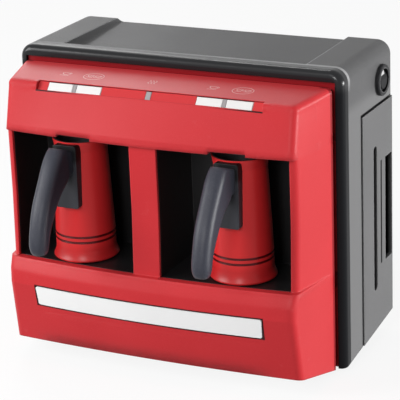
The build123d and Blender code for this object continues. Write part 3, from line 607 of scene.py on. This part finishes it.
def paintHandles():
    look = handleGrey
    f = Finish("handle_grey")
    shade, rough, normal = moulded(f, look, f.soft(look["round"]))
    f.feed(Base_Color=shade, Roughness=rough, Normal=normal, Specular_IOR_Level=look["shine"])
    f.dress(*pair("pot_handle"))
    look = mountGrey
    f = Finish("mount_grey")
    shade, rough, normal = moulded(f, look)
    # painted shade over the top of the mount
    fromTop = f.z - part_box("handle_mount_left")[1].z
    shade = f.mix(fromTop.past(*look["shadeFoot"]), shade, look["shade"])
    f.feed(Base_Color=shade, Roughness=rough, Normal=normal, Specular_IOR_Level=look["shine"])
    f.dress(*pair("handle_mount"))


enamel = {
    "colour": (0.70, 0.026, 0.028),
    "deep": (0.62, 0.020, 0.023),
    "light": (0.78, 0.07, 0.07),
    "rough": 0.36,
    "shine": 0.3,
    "edge": 0.0005,
    "wear": 0.3,
    "blotch": (22.0, 3.0),
    "blotchSpan": (0.3, 0.7),
    "blotchShare": 0.5,
    "blotchRough": 0.08,
    "peel": (700.0, 1.0),
    "peelShare": 0.4,
    "depth": 0.00001,
    # heights over the pot's bottom
    "foot": (0.0040, 0.0150),
    "footShade": (0.50, 0.017, 0.019),
    "grooves": ((0.0150, 0.0170, 0.0002), (0.0193, 0.0213, 0.0002)),
    "grooveShade": (0.12, 0.004, 0.006),
    # outer wall: radius and top of the straight band, radius and height of the neck, slope of the rim
    "band": (0.0240, 0.0209),
    "neck": (0.0208, 0.0900),
    "rim": 0.2,
    # bare steel inside: how deep under the outer wall and how far over the bottom it starts
    "steelDepth": (0.00096, 0.0012),
    "steelFloor": (0.002, 0.004),
    "steel": (0.16, 0.16, 0.165),
    "steelRough": 0.12,
    "ring": 9000.0,
    "ringRough": 0.08,
    "ringShare": 0.6,
}


# outer radius of a pot: a straight cone from the band to the neck, then the flare of the rim
def potRadius(rise):
    bandRadius, bandTop = enamel["band"]
    neckRadius, neckHeight = enamel["neck"]
    slope = (bandRadius - neckRadius) / (neckHeight - bandTop)
    cone = bandRadius - (rise - bandTop).most(0.0) * slope
    flare = neckRadius + (rise - neckHeight) * enamel["rim"]
    return cone.most(flare)


# enamelled wall outside, turned steel inside: told apart by the radius from the pot's own axis
def paintPots():
    look = enamel
    for piece, name in zip(pair("pot_body"), pair("red_pot")):
        f = Finish(name)
        rounded = f.soft(look["edge"])
        rise = f.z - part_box(piece)[0].z
        inside = (potRadius(rise) - fromAxis(f, piece)).ramp(*look["steelDepth"])
        inside = inside * rise.ramp(*look["steelFloor"])
        blotch = f.noise(*look["blotch"])
        peel = f.noise(*look["peel"])
        shade = f.mix(blotch.ramp(*look["blotchSpan"]) * look["blotchShare"], look["colour"], look["deep"])
        shade = f.mix(f.edge(rounded) * look["wear"], shade, look["light"])
        # painted shade: the foot is darker below the grooves
        shade = f.mix(rise.fade(*look["foot"]), shade, look["footShade"])
        # painted shade in the grooves
        for groove in look["grooves"]:
            shade = f.mix(rise.between(*groove), shade, look["grooveShade"])
        shade = f.mix(inside, shade, look["steel"])
        rings = (rise * look["ring"]).wave() * inside
        rough = look["rough"] + blotch.swing(look["blotchRough"])
        rough = rough + inside * look["steelRough"] + rings * look["ringRough"]
        height = peel * (1 - inside) * look["peelShare"] + rings * look["ringShare"]
        f.feed(Base_Color=shade, Roughness=rough, Metallic=inside, Specular_IOR_Level=look["shine"])
        f.feed(Normal=f.bump(height, look["depth"], rounded))
        f.dress(piece)


turnedSteel = {
    # brightness and roughness of each turned piece
    "pieces": {
        "pot_disc": (0.6, 0.30),
        "hotplate": (0.16, 0.42),
        "heater_ring": (0.5, 0.5),
        "heat_probe": (0.5, 0.35),
    },
    "clean": (1.0, 1.0, 1.01),  # tints of the brightness
    "stained": (0.8, 0.79, 0.78),
    "stain": (90.0, 4.0, 0.65),
    "stainSpan": (0.35, 0.75),
    "stainRough": 0.12,
    "ring": 8000.0,
    "ringRough": 0.08,
    "depth": 0.000012,
    "edge": 0.0004,
}


# rings turned round the piece's own axis
def paintTurned():
    look = turnedSteel
    for word, (bright, rough) in look["pieces"].items():
        clean, stained = (tuple(bright * tint for tint in look[key]) for key in ("clean", "stained"))
        for name in pair(word):
            f = Finish(name + "_metal")
            ring = (fromAxis(f, name) * look["ring"]).wave()
            stain = f.noise(*look["stain"])
            shade = f.mix(stain.ramp(*look["stainSpan"]), clean, stained)
            wear = rough + ring * look["ringRough"] + stain.swing(look["stainRough"])
            f.feed(Base_Color=shade, Roughness=wear, Metallic=1.0)
            f.feed(Normal=f.bump(ring, look["depth"], f.soft(look["edge"])))
            f.dress(name)


brushedSteel = {
    "colour": (0.55, 0.55, 0.56),
    "deep": (0.42, 0.42, 0.43),
    "rough": 0.3,
    "brush": (300.0, 3.0, 0.6),
    "brushRough": 0.15,
    "stretch": (0.06, 1.0, 1.0),
    "depth": 0.00001,
    "edge": 0.0004,
}


# straight brush lines along the strap
def paintBrackets():
    look = brushedSteel
    f = Finish("bracket_metal")
    brush = f.noise(*look["brush"], look["stretch"])
    shade = f.mix(brush, look["colour"], look["deep"])
    f.feed(Base_Color=shade, Roughness=look["rough"] + brush * look["brushRough"], Metallic=1.0)
    f.feed(Normal=f.bump(brush, look["depth"], f.soft(look["edge"])))
    f.dress(*pair("heater_bracket"))


screwHead = {
    "radius": 0.003,
    "slot": (0.00045, 0.00063),  # half a bar's width, and where it has faded
    "reach": (0.0018, 0.00198),
    "colour": (0.5, 0.5, 0.51),
    "stained": (0.4, 0.4, 0.41),
    "recess": (0.03, 0.03, 0.03),
    "rough": 0.3,
    "stain": (500.0, 3.0),
    "stainRough": 0.15,
    "recessRough": 0.3,
    "depth": 0.0004,
    "edge": 0.0003,
    # the two axes that each group's heads lie across
    "groups": {
        "cover_screws": "xz",
        "base_screws": "xy",
        "board_screws": "xy",
        "handle_screw_left": "xy",
        "handle_screw_right": "xy",
    },
}


# cross recess in each head, painted dark as shade: two bars round the head's own centre
def paintScrews():
    look = screwHead
    for name, axes in look["groups"].items():
        f = Finish(name + "_steel")
        low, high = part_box(name)
        bars = []
        for axis in axes:
            # the heads stand at the corners of the group's box
            first, last = getattr(low, axis) + look["radius"], getattr(high, axis) - look["radius"]
            along = getattr(f, axis)
            away = abs(along - first).least(abs(along - last))
            bars.append((away.fade(*look["slot"]), away.fade(*look["reach"])))
        (thinA, longA), (thinB, longB) = bars
        cross = (thinA * longB).most(thinB * longA)
        stain = f.noise(*look["stain"])
        shade = f.mix(cross, f.mix(stain, look["colour"], look["stained"]), look["recess"])
        rough = look["rough"] + stain * look["stainRough"] + cross * look["recessRough"]
        f.feed(Base_Color=shade, Roughness=rough, Metallic=1.0)
        f.feed(Normal=f.bump(1 - cross, look["depth"], f.soft(look["edge"])))
        f.dress(name)


bezelDark = {
    **blackMoulded,
    "light": (0.42, 0.42, 0.425),
    "rough": 0.42,
    "edge": 0.0009,
    # strong pale edges: partly wear, partly painted highlight on the ring
    "wear": 0.8,
    "shine": 0.05,
}

# a painted highlight, a pale pad, lies on the upper end of the rocker; the last number of its places is an
# ease
rockerBlack = {
    **blackMoulded,
    "colour": (0.012, 0.012, 0.013),
    "rough": 0.4,
    "grain": 900.0,
    "depth": 0.00001,
    "shine": 0.05,
    "pad": (-0.0049, 0.0003),
    "padHalf": (0.0037, 0.0003),
    "padColour": (0.62, 0.62, 0.62),
}


def paintSwitch():
    cast("bezel_dark", bezelDark, "switch_bezel", Specular_IOR_Level=bezelDark["shine"])
    look = rockerBlack
    f = Finish("rocker_black")
    shade, rough, normal = moulded(f, look)
    low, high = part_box("power_rocker")
    aside = abs(f.y - (low.y + high.y) / 2)
    # painted highlight on the rocker's upper end
    pad = (f.z - high.z).past(*look["pad"]) * aside.before(*look["padHalf"])
    shade = f.mix(pad, shade, look["padColour"])
    f.feed(Base_Color=shade, Roughness=rough, Normal=normal, Specular_IOR_Level=look["shine"])
    f.dress("power_rocker")


boardGreen = {
    "lacquer": (0.012, 0.075, 0.03),
    "copper": (0.03, 0.15, 0.06),
    "grid": (900.0, 700.0),
    "breaks": (70.0, 2.0),
    "runSpan": (0.62, 0.72),
    "rough": 0.32,
    "runRough": 0.1,
    "depth": 0.00003,
    "edge": 0.0002,
}


# lacquered board: copper runs under green, from a coarse square grid broken by noise
def paintBoards():
    look = boardGreen
    f = Finish("board_green")
    along, across = look["grid"]
    grid = (f.x * along).sine() * (f.y * across).sine()
    runs = (grid + f.noise(*look["breaks"])).ramp(*look["runSpan"])
    shade = f.mix(runs, look["lacquer"], look["copper"])
    normal = f.bump(runs, look["depth"], f.soft(look["edge"]))
    f.feed(Base_Color=shade, Roughness=look["rough"] + runs * look["runRough"], Normal=normal)
    f.dress("control_board", "power_board")


coil = {
    "winding": (0.35, 0.12, 0.04),
    "core": (0.16, 0.16, 0.165),
    "coreHalf": (0.0094, 0.0096),
    "coreMetal": 0.8,
    "sheets": 9000.0,
    "turns": 7000.0,
    "rough": 0.45,
    "ridgeRough": 0.1,
    "depth": 0.00008,
    "edge": 0.0004,
}


# stacked sheets in the middle, wound wire in front of them and behind
def paintCoil():
    look = coil
    f = Finish("coil_metal")
    low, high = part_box("transformer")
    core = abs(f.y - (low.y + high.y) / 2).fade(*look["coreHalf"])
    ridges = (f.y * look["sheets"]).wave() * core + (f.z * look["turns"]).wave() * (1 - core)
    shade = f.mix(core, look["winding"], look["core"])
    f.feed(Base_Color=shade, Roughness=look["rough"] + ridges * look["ridgeRough"])
    f.feed(Metallic=core * look["coreMetal"], Normal=f.bump(ridges, look["depth"], f.soft(look["edge"])))
    f.dress("transformer")


sensorWindow = {
    "colour": (0.01, 0.01, 0.012),
    "dusty": (0.03, 0.03, 0.034),
    "dust": (900.0, 2.0),
    "rough": 0.06,
    "dustRough": 0.08,
    "edge": 0.0003,
    "coat": 0.6,
}

lampClear = {
    "colour": (0.7, 0.64, 0.5),
    "dusty": (0.8, 0.76, 0.66),
    "dust": (1200.0, 2.0),
    "rough": 0.12,
    "dustRough": 0.1,
    "edge": 0.0003,
    "coat": 0.0,
}


# smooth small pieces, made dull by dust
def glaze(name, look, *pieces):
    f = Finish(name)
    dust = f.noise(*look["dust"])
    shade = f.mix(dust, look["colour"], look["dusty"])
    f.feed(Base_Color=shade, Roughness=look["rough"] + dust * look["dustRough"])
    f.feed(Coat_Weight=look["coat"], Normal=f.soft(look["edge"]))
    f.dress(*pieces)


def paintGlass():
    glaze("sensor_window", sensorWindow, *pair("sensor_lens"))
    glaze("lamp_clear", lampClear, "indicator_lamps")


paintFront()
paintTrim()
paintHousing()
paintCover()
paintBlacks()
paintWhites()
paintHandles()
paintPots()
paintTurned()
paintBrackets()
paintScrews()
paintSwitch()
paintBoards()
paintCoil()
paintGlass()
print("finishes set:", len(bpy.data.materials))


# how the signs are drawn: all but the oval in shares of a sign's width
signShape = {
    "bowl": (0.5, 0.62),  # half width and depth
    "ear": (0.2, -0.2),  # radius and height
    "earTurn": (-0.62 * pi, 0.55 * pi),
    "saucer": (0.62, -0.86),  # half width and height
    "lift": 0.43,
    "apart": 0.72,  # of two cups, from the middle
    "steam": (0.12, 0.6),  # swing and half height
    "steamTurn": 4.5,
    "steamStep": 0.42,
    "oval": (0.0085, 0.0066),
    "curvePoints": 25,
    "earPoints": 17,
    "linePoints": 9,
    "ovalPoints": 64,
}


# cup: half ellipse bowl with a straight rim, part of a ring for its ear, a line for its saucer
def cupPaths(width):
    half, deep = signShape["bowl"]
    t = np.linspace(0, pi, signShape["curvePoints"])
    bowl = np.stack((-half * np.cos(t), -deep * np.sin(t)), 1)
    level = np.linspace(-1, 1, signShape["linePoints"])
    rim = np.stack((half * level, np.zeros_like(level)), 1)
    radius, height = signShape["ear"]
    s = np.linspace(*signShape["earTurn"], signShape["earPoints"])
    ear = np.stack((half + radius * np.cos(s), height + radius * np.sin(s)), 1)
    halfSaucer, low = signShape["saucer"]
    saucer = np.stack((halfSaucer * level, np.full_like(level, low)), 1)
    return [(path + (0.0, signShape["lift"])) * width for path in (bowl, rim, ear, saucer)]


# steam: three sine waves side by side
def steamPaths(width):
    swing, half = signShape["steam"]
    t = np.linspace(-1, 1, signShape["curvePoints"])
    wave = np.stack((swing * np.sin(t * signShape["steamTurn"]), half * t), 1)
    return [(wave + (place * signShape["steamStep"], 0.0)) * width for place in (-1, 0, 1)]


# ellipse round the sign of two cups
def ovalPath():
    halfLength, halfHeight = signShape["oval"]
    t = np.linspace(0, 2 * pi, signShape["ovalPoints"], endpoint=False)
    return np.stack((halfLength * np.cos(t), halfHeight * np.sin(t)), 1)


# the strokes of one sign, each with a mark for a closed path
def signPaths(kind, width):
    if kind == "steam":
        return [(path, False) for path in steamPaths(width)]
    if kind == "one":
        return [(path, False) for path in cupPaths(width)]
    away = signShape["apart"] * width
    cups = [path + (side * away, 0.0) for side in (-1, 1) for path in cupPaths(width)]
    return [(path, False) for path in cups] + [(ovalPath(), True)]


# printed signs over the buttons
cupMarks = {
    # place along the slot: what is drawn there, and how wide one cup or the steam is
    "places": {
        -0.0822: ("one", 0.0064),
        -0.0573: ("two", 0.0046),
        -0.0060: ("steam", 0.0060),
        0.0453: ("one", 0.0064),
        0.0702: ("two", 0.0046),
    },
    "row": -0.0250,
    "reach": 0.009,  # how far before the row and behind it the front's height is read
    "readings": 13,
    "line": 0.00060,
    "rise": 0.00006,
    "sides": 8,
    "colour": (0.70, 0.40, 0.39),
    "worn": (0.60, 0.26, 0.26),
    "wear": (1800.0, 3.0),
    "wearSpan": (0.35, 0.7),
    "rough": 0.4,
    "wearRough": 0.2,
}


# flat tube: an ellipse of half width w and half height h carried along a path in a plane,
# joined end to start on a closed path and shut by its end rings on an open one
def strokeTube(path, w, h, sides, closed):
    along = np.roll(path, -1, 0) - np.roll(path, 1, 0) if closed else np.gradient(path, axis=0)
    along = along / np.linalg.norm(along, axis=1)[:, None]
    across = np.stack((-along[:, 1], along[:, 0]), 1)
    turn = np.linspace(0, 2 * pi, sides, endpoint=False)
    flat = path[:, None, :] + across[:, None, :] * (w * np.cos(turn))[None, :, None]
    lift = np.broadcast_to((h * np.sin(turn))[None, :, None], flat.shape[:2] + (1,))
    grid = np.concatenate((flat, lift), 2).reshape(-1, 3)
    count = len(path)
    ring, spoke = np.meshgrid(np.arange(count if closed else count - 1), np.arange(sides), indexing="ij")
    here, after = ring * sides, (ring + 1) % count * sides
    nextSpoke = (spoke + 1) % sides
    quads = np.stack((here + spoke, here + nextSpoke, after + nextSpoke, after + spoke), -1)
    faces = quads.reshape(-1, 4).tolist()
    if not closed:
        end = np.arange(sides)
        faces += [end[::-1].tolist(), ((count - 1) * sides + end).tolist()]
    return grid, faces


# each stroke is laid on the front: heights are read along the row and followed between
def layStrokes():
    look = cupMarks
    fascia = nodes["front_fascia"]
    bpy.context.view_layer.update()
    rows = look["row"] + np.linspace(-look["reach"], look["reach"], look["readings"])
    above, down = cadBox[1].z, Vector((0, 0, -1))
    spots, faces, total = [], [], 0
    for place, (kind, width) in look["places"].items():
        heights = [fascia.ray_cast(Vector((place, y, above)), down)[1].z for y in rows]
        for path, closed in signPaths(kind, width):
            grid, quads = strokeTube(path, look["line"] / 2, look["rise"], look["sides"], closed)
            y = look["row"] + grid[:, 1]
            z = np.interp(y, rows, heights) + grid[:, 2]
            spots.append(np.stack((place + grid[:, 0], y, z), 1))
            faces += [[corner + total for corner in face] for face in quads]
            total += len(grid)
    return np.concatenate(spots), faces


def printCups():
    look = cupMarks
    spots, faces = layStrokes()
    mesh = bpy.data.meshes.new("cup_signs")
    mesh.from_pydata(spots.tolist(), [], faces)
    mesh.update()
    signs = bpy.data.objects.new("cup_signs", mesh)
    scene.collection.objects.link(signs)
    f = Finish("sign_ink")
    wear = f.noise(*look["wear"])
    shade = f.mix(wear.ramp(*look["wearSpan"]), look["colour"], look["worn"])
    f.feed(Base_Color=shade, Roughness=look["rough"] + wear * look["wearRough"])
    mesh.materials.append(f.material)
    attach(signs, "machine")


printCups()
print("signs printed")


# studio: floor, soft lamps and pale world
studio = {
    "floor": 6.0,
    "floorRows": 3,
    "floorRough": 0.9,
    "bounce": (0.22, 0.22, 0.22),
    "white": (0.95, 0.95, 0.95),
    "glow": 0.87,
    "glowColour": (1, 1, 1, 1),
    "world": 0.13,
    "lamps": {
        # name: (place, aim, (width, height), watts)
        "keyLeft": ((-1.20, -1.0, 0.80), (0.0, -0.02, 0.14), (0.8, 0.8), 22.0),
        "fillFront": ((-0.30, -1.75, 1.55), (0.0, 0.0, 0.13), (0.8, 0.8), 4.5),
        "lowFront": ((0.26, -1.70, 0.85), (0.0, 0.0, 0.13), (0.4, 0.4), 11.5),
        "sideRight": ((1.6, 0.45, 0.19), (0.14, 0.05, 0.12), (1.0, 0.25), 31.0),
        "overTop": ((-0.60, 0.75, 1.55), (0.0, 0.0, 0.2), (0.34, 0.1), 3.5),
        "behind": ((-1.45, 1.75, 1.45), (0.0, 0.0, 0.24), (0.9, 0.9), 10.0),
    },
}


# flat square grid; looked at, it is near white and keeps part of the shadow
def layFloor():
    rows = studio["floorRows"]
    line = np.linspace(-studio["floor"], studio["floor"], rows)
    x, y = np.meshgrid(line, line, indexing="ij")
    spots = np.stack((x, y, np.zeros_like(x)), -1).reshape(-1, 3)
    a, b = np.meshgrid(np.arange(rows - 1), np.arange(rows - 1), indexing="ij")
    here, after = a * rows + b, (a + 1) * rows + b
    quads = np.stack((here, after, after + 1, here + 1), -1).reshape(-1, 4)
    mesh = bpy.data.meshes.new("floor")
    mesh.from_pydata(spots.tolist(), [], quads.tolist())
    floor = bpy.data.objects.new("floor", mesh)
    scene.collection.objects.link(floor)
    f = Finish("floor_white")
    seen = f.looked()
    f.feed(Base_Color=f.mix(seen, studio["bounce"], studio["white"]), Roughness=studio["floorRough"])
    glow = f.add("Emission", {}, {"Color": studio["glowColour"], "Strength": 1.0})
    both = f.add("MixShader", {}, {0: seen * studio["glow"], 1: Sock(f, f.shader.outputs[0]), 2: glow})
    f.tree.links.new(both.link, f.out.inputs["Surface"])
    mesh.materials.append(f.material)


def hangLamps():
    for name, (place, aim, size, watts) in studio["lamps"].items():
        lamp = bpy.data.lights.new(name, "AREA")
        lamp.shape = "RECTANGLE"
        lamp.size, lamp.size_y = size
        lamp.energy = watts
        holder = bpy.data.objects.new(name, lamp)
        holder.location = place
        holder.rotation_euler = (Vector(aim) - Vector(place)).to_track_quat("-Z", "Y").to_euler()
        scene.collection.objects.link(holder)


def paintWorld():
    world = bpy.data.worlds.new("studio")
    scene.world = world
    world.use_nodes = True
    sky = Graph(world.node_tree)
    strength = sky.looked().ramp(0.0, 1.0, studio["world"], 1.0)
    pale = sky.add("Background", {}, {"Color": studio["glowColour"], "Strength": strength})
    out = sky.tree.nodes.new("ShaderNodeOutputWorld")
    sky.tree.links.new(pale.link, out.inputs["Surface"])


# the photograph's camera: degrees, metres, and the lens in millimetres
view = {
    "azimuth": 26.5,
    "elevation": 18.8,
    "roll": -2.2,
    "distance": 1.5456,
    "aim": (0.0, 0.02923, 0.127),
    "sensor": 36.0,
    "focal": 172.296,
    "shift": (0.0115, -0.01875),
}


# the camera stands on a sphere round the aim, turned a little about its own line of sight
def setCamera():
    a, e, r = (radians(view[key]) for key in ("azimuth", "elevation", "roll"))
    back = Vector((sin(a) * cos(e), -cos(a) * cos(e), sin(e)))
    right = Vector((cos(a), sin(a), 0))
    up = back.cross(right)
    acrossView = right * cos(r) + up * sin(r)
    upView = up * cos(r) - right * sin(r)
    lens = bpy.data.cameras.new("photo")
    lens.sensor_width = view["sensor"]
    lens.lens = view["focal"]
    lens.shift_x, lens.shift_y = view["shift"]
    camera = bpy.data.objects.new("photo", lens)
    turn = Matrix((acrossView, upView, back)).transposed().to_4x4()
    camera.matrix_world = Matrix.Translation(Vector(view["aim"]) + back * view["distance"]) @ turn
    scene.collection.objects.link(camera)
    scene.camera = camera


layFloor()
hangLamps()
paintWorld()
setCamera()
scene.view_settings.view_transform = "Standard"
print("studio set")
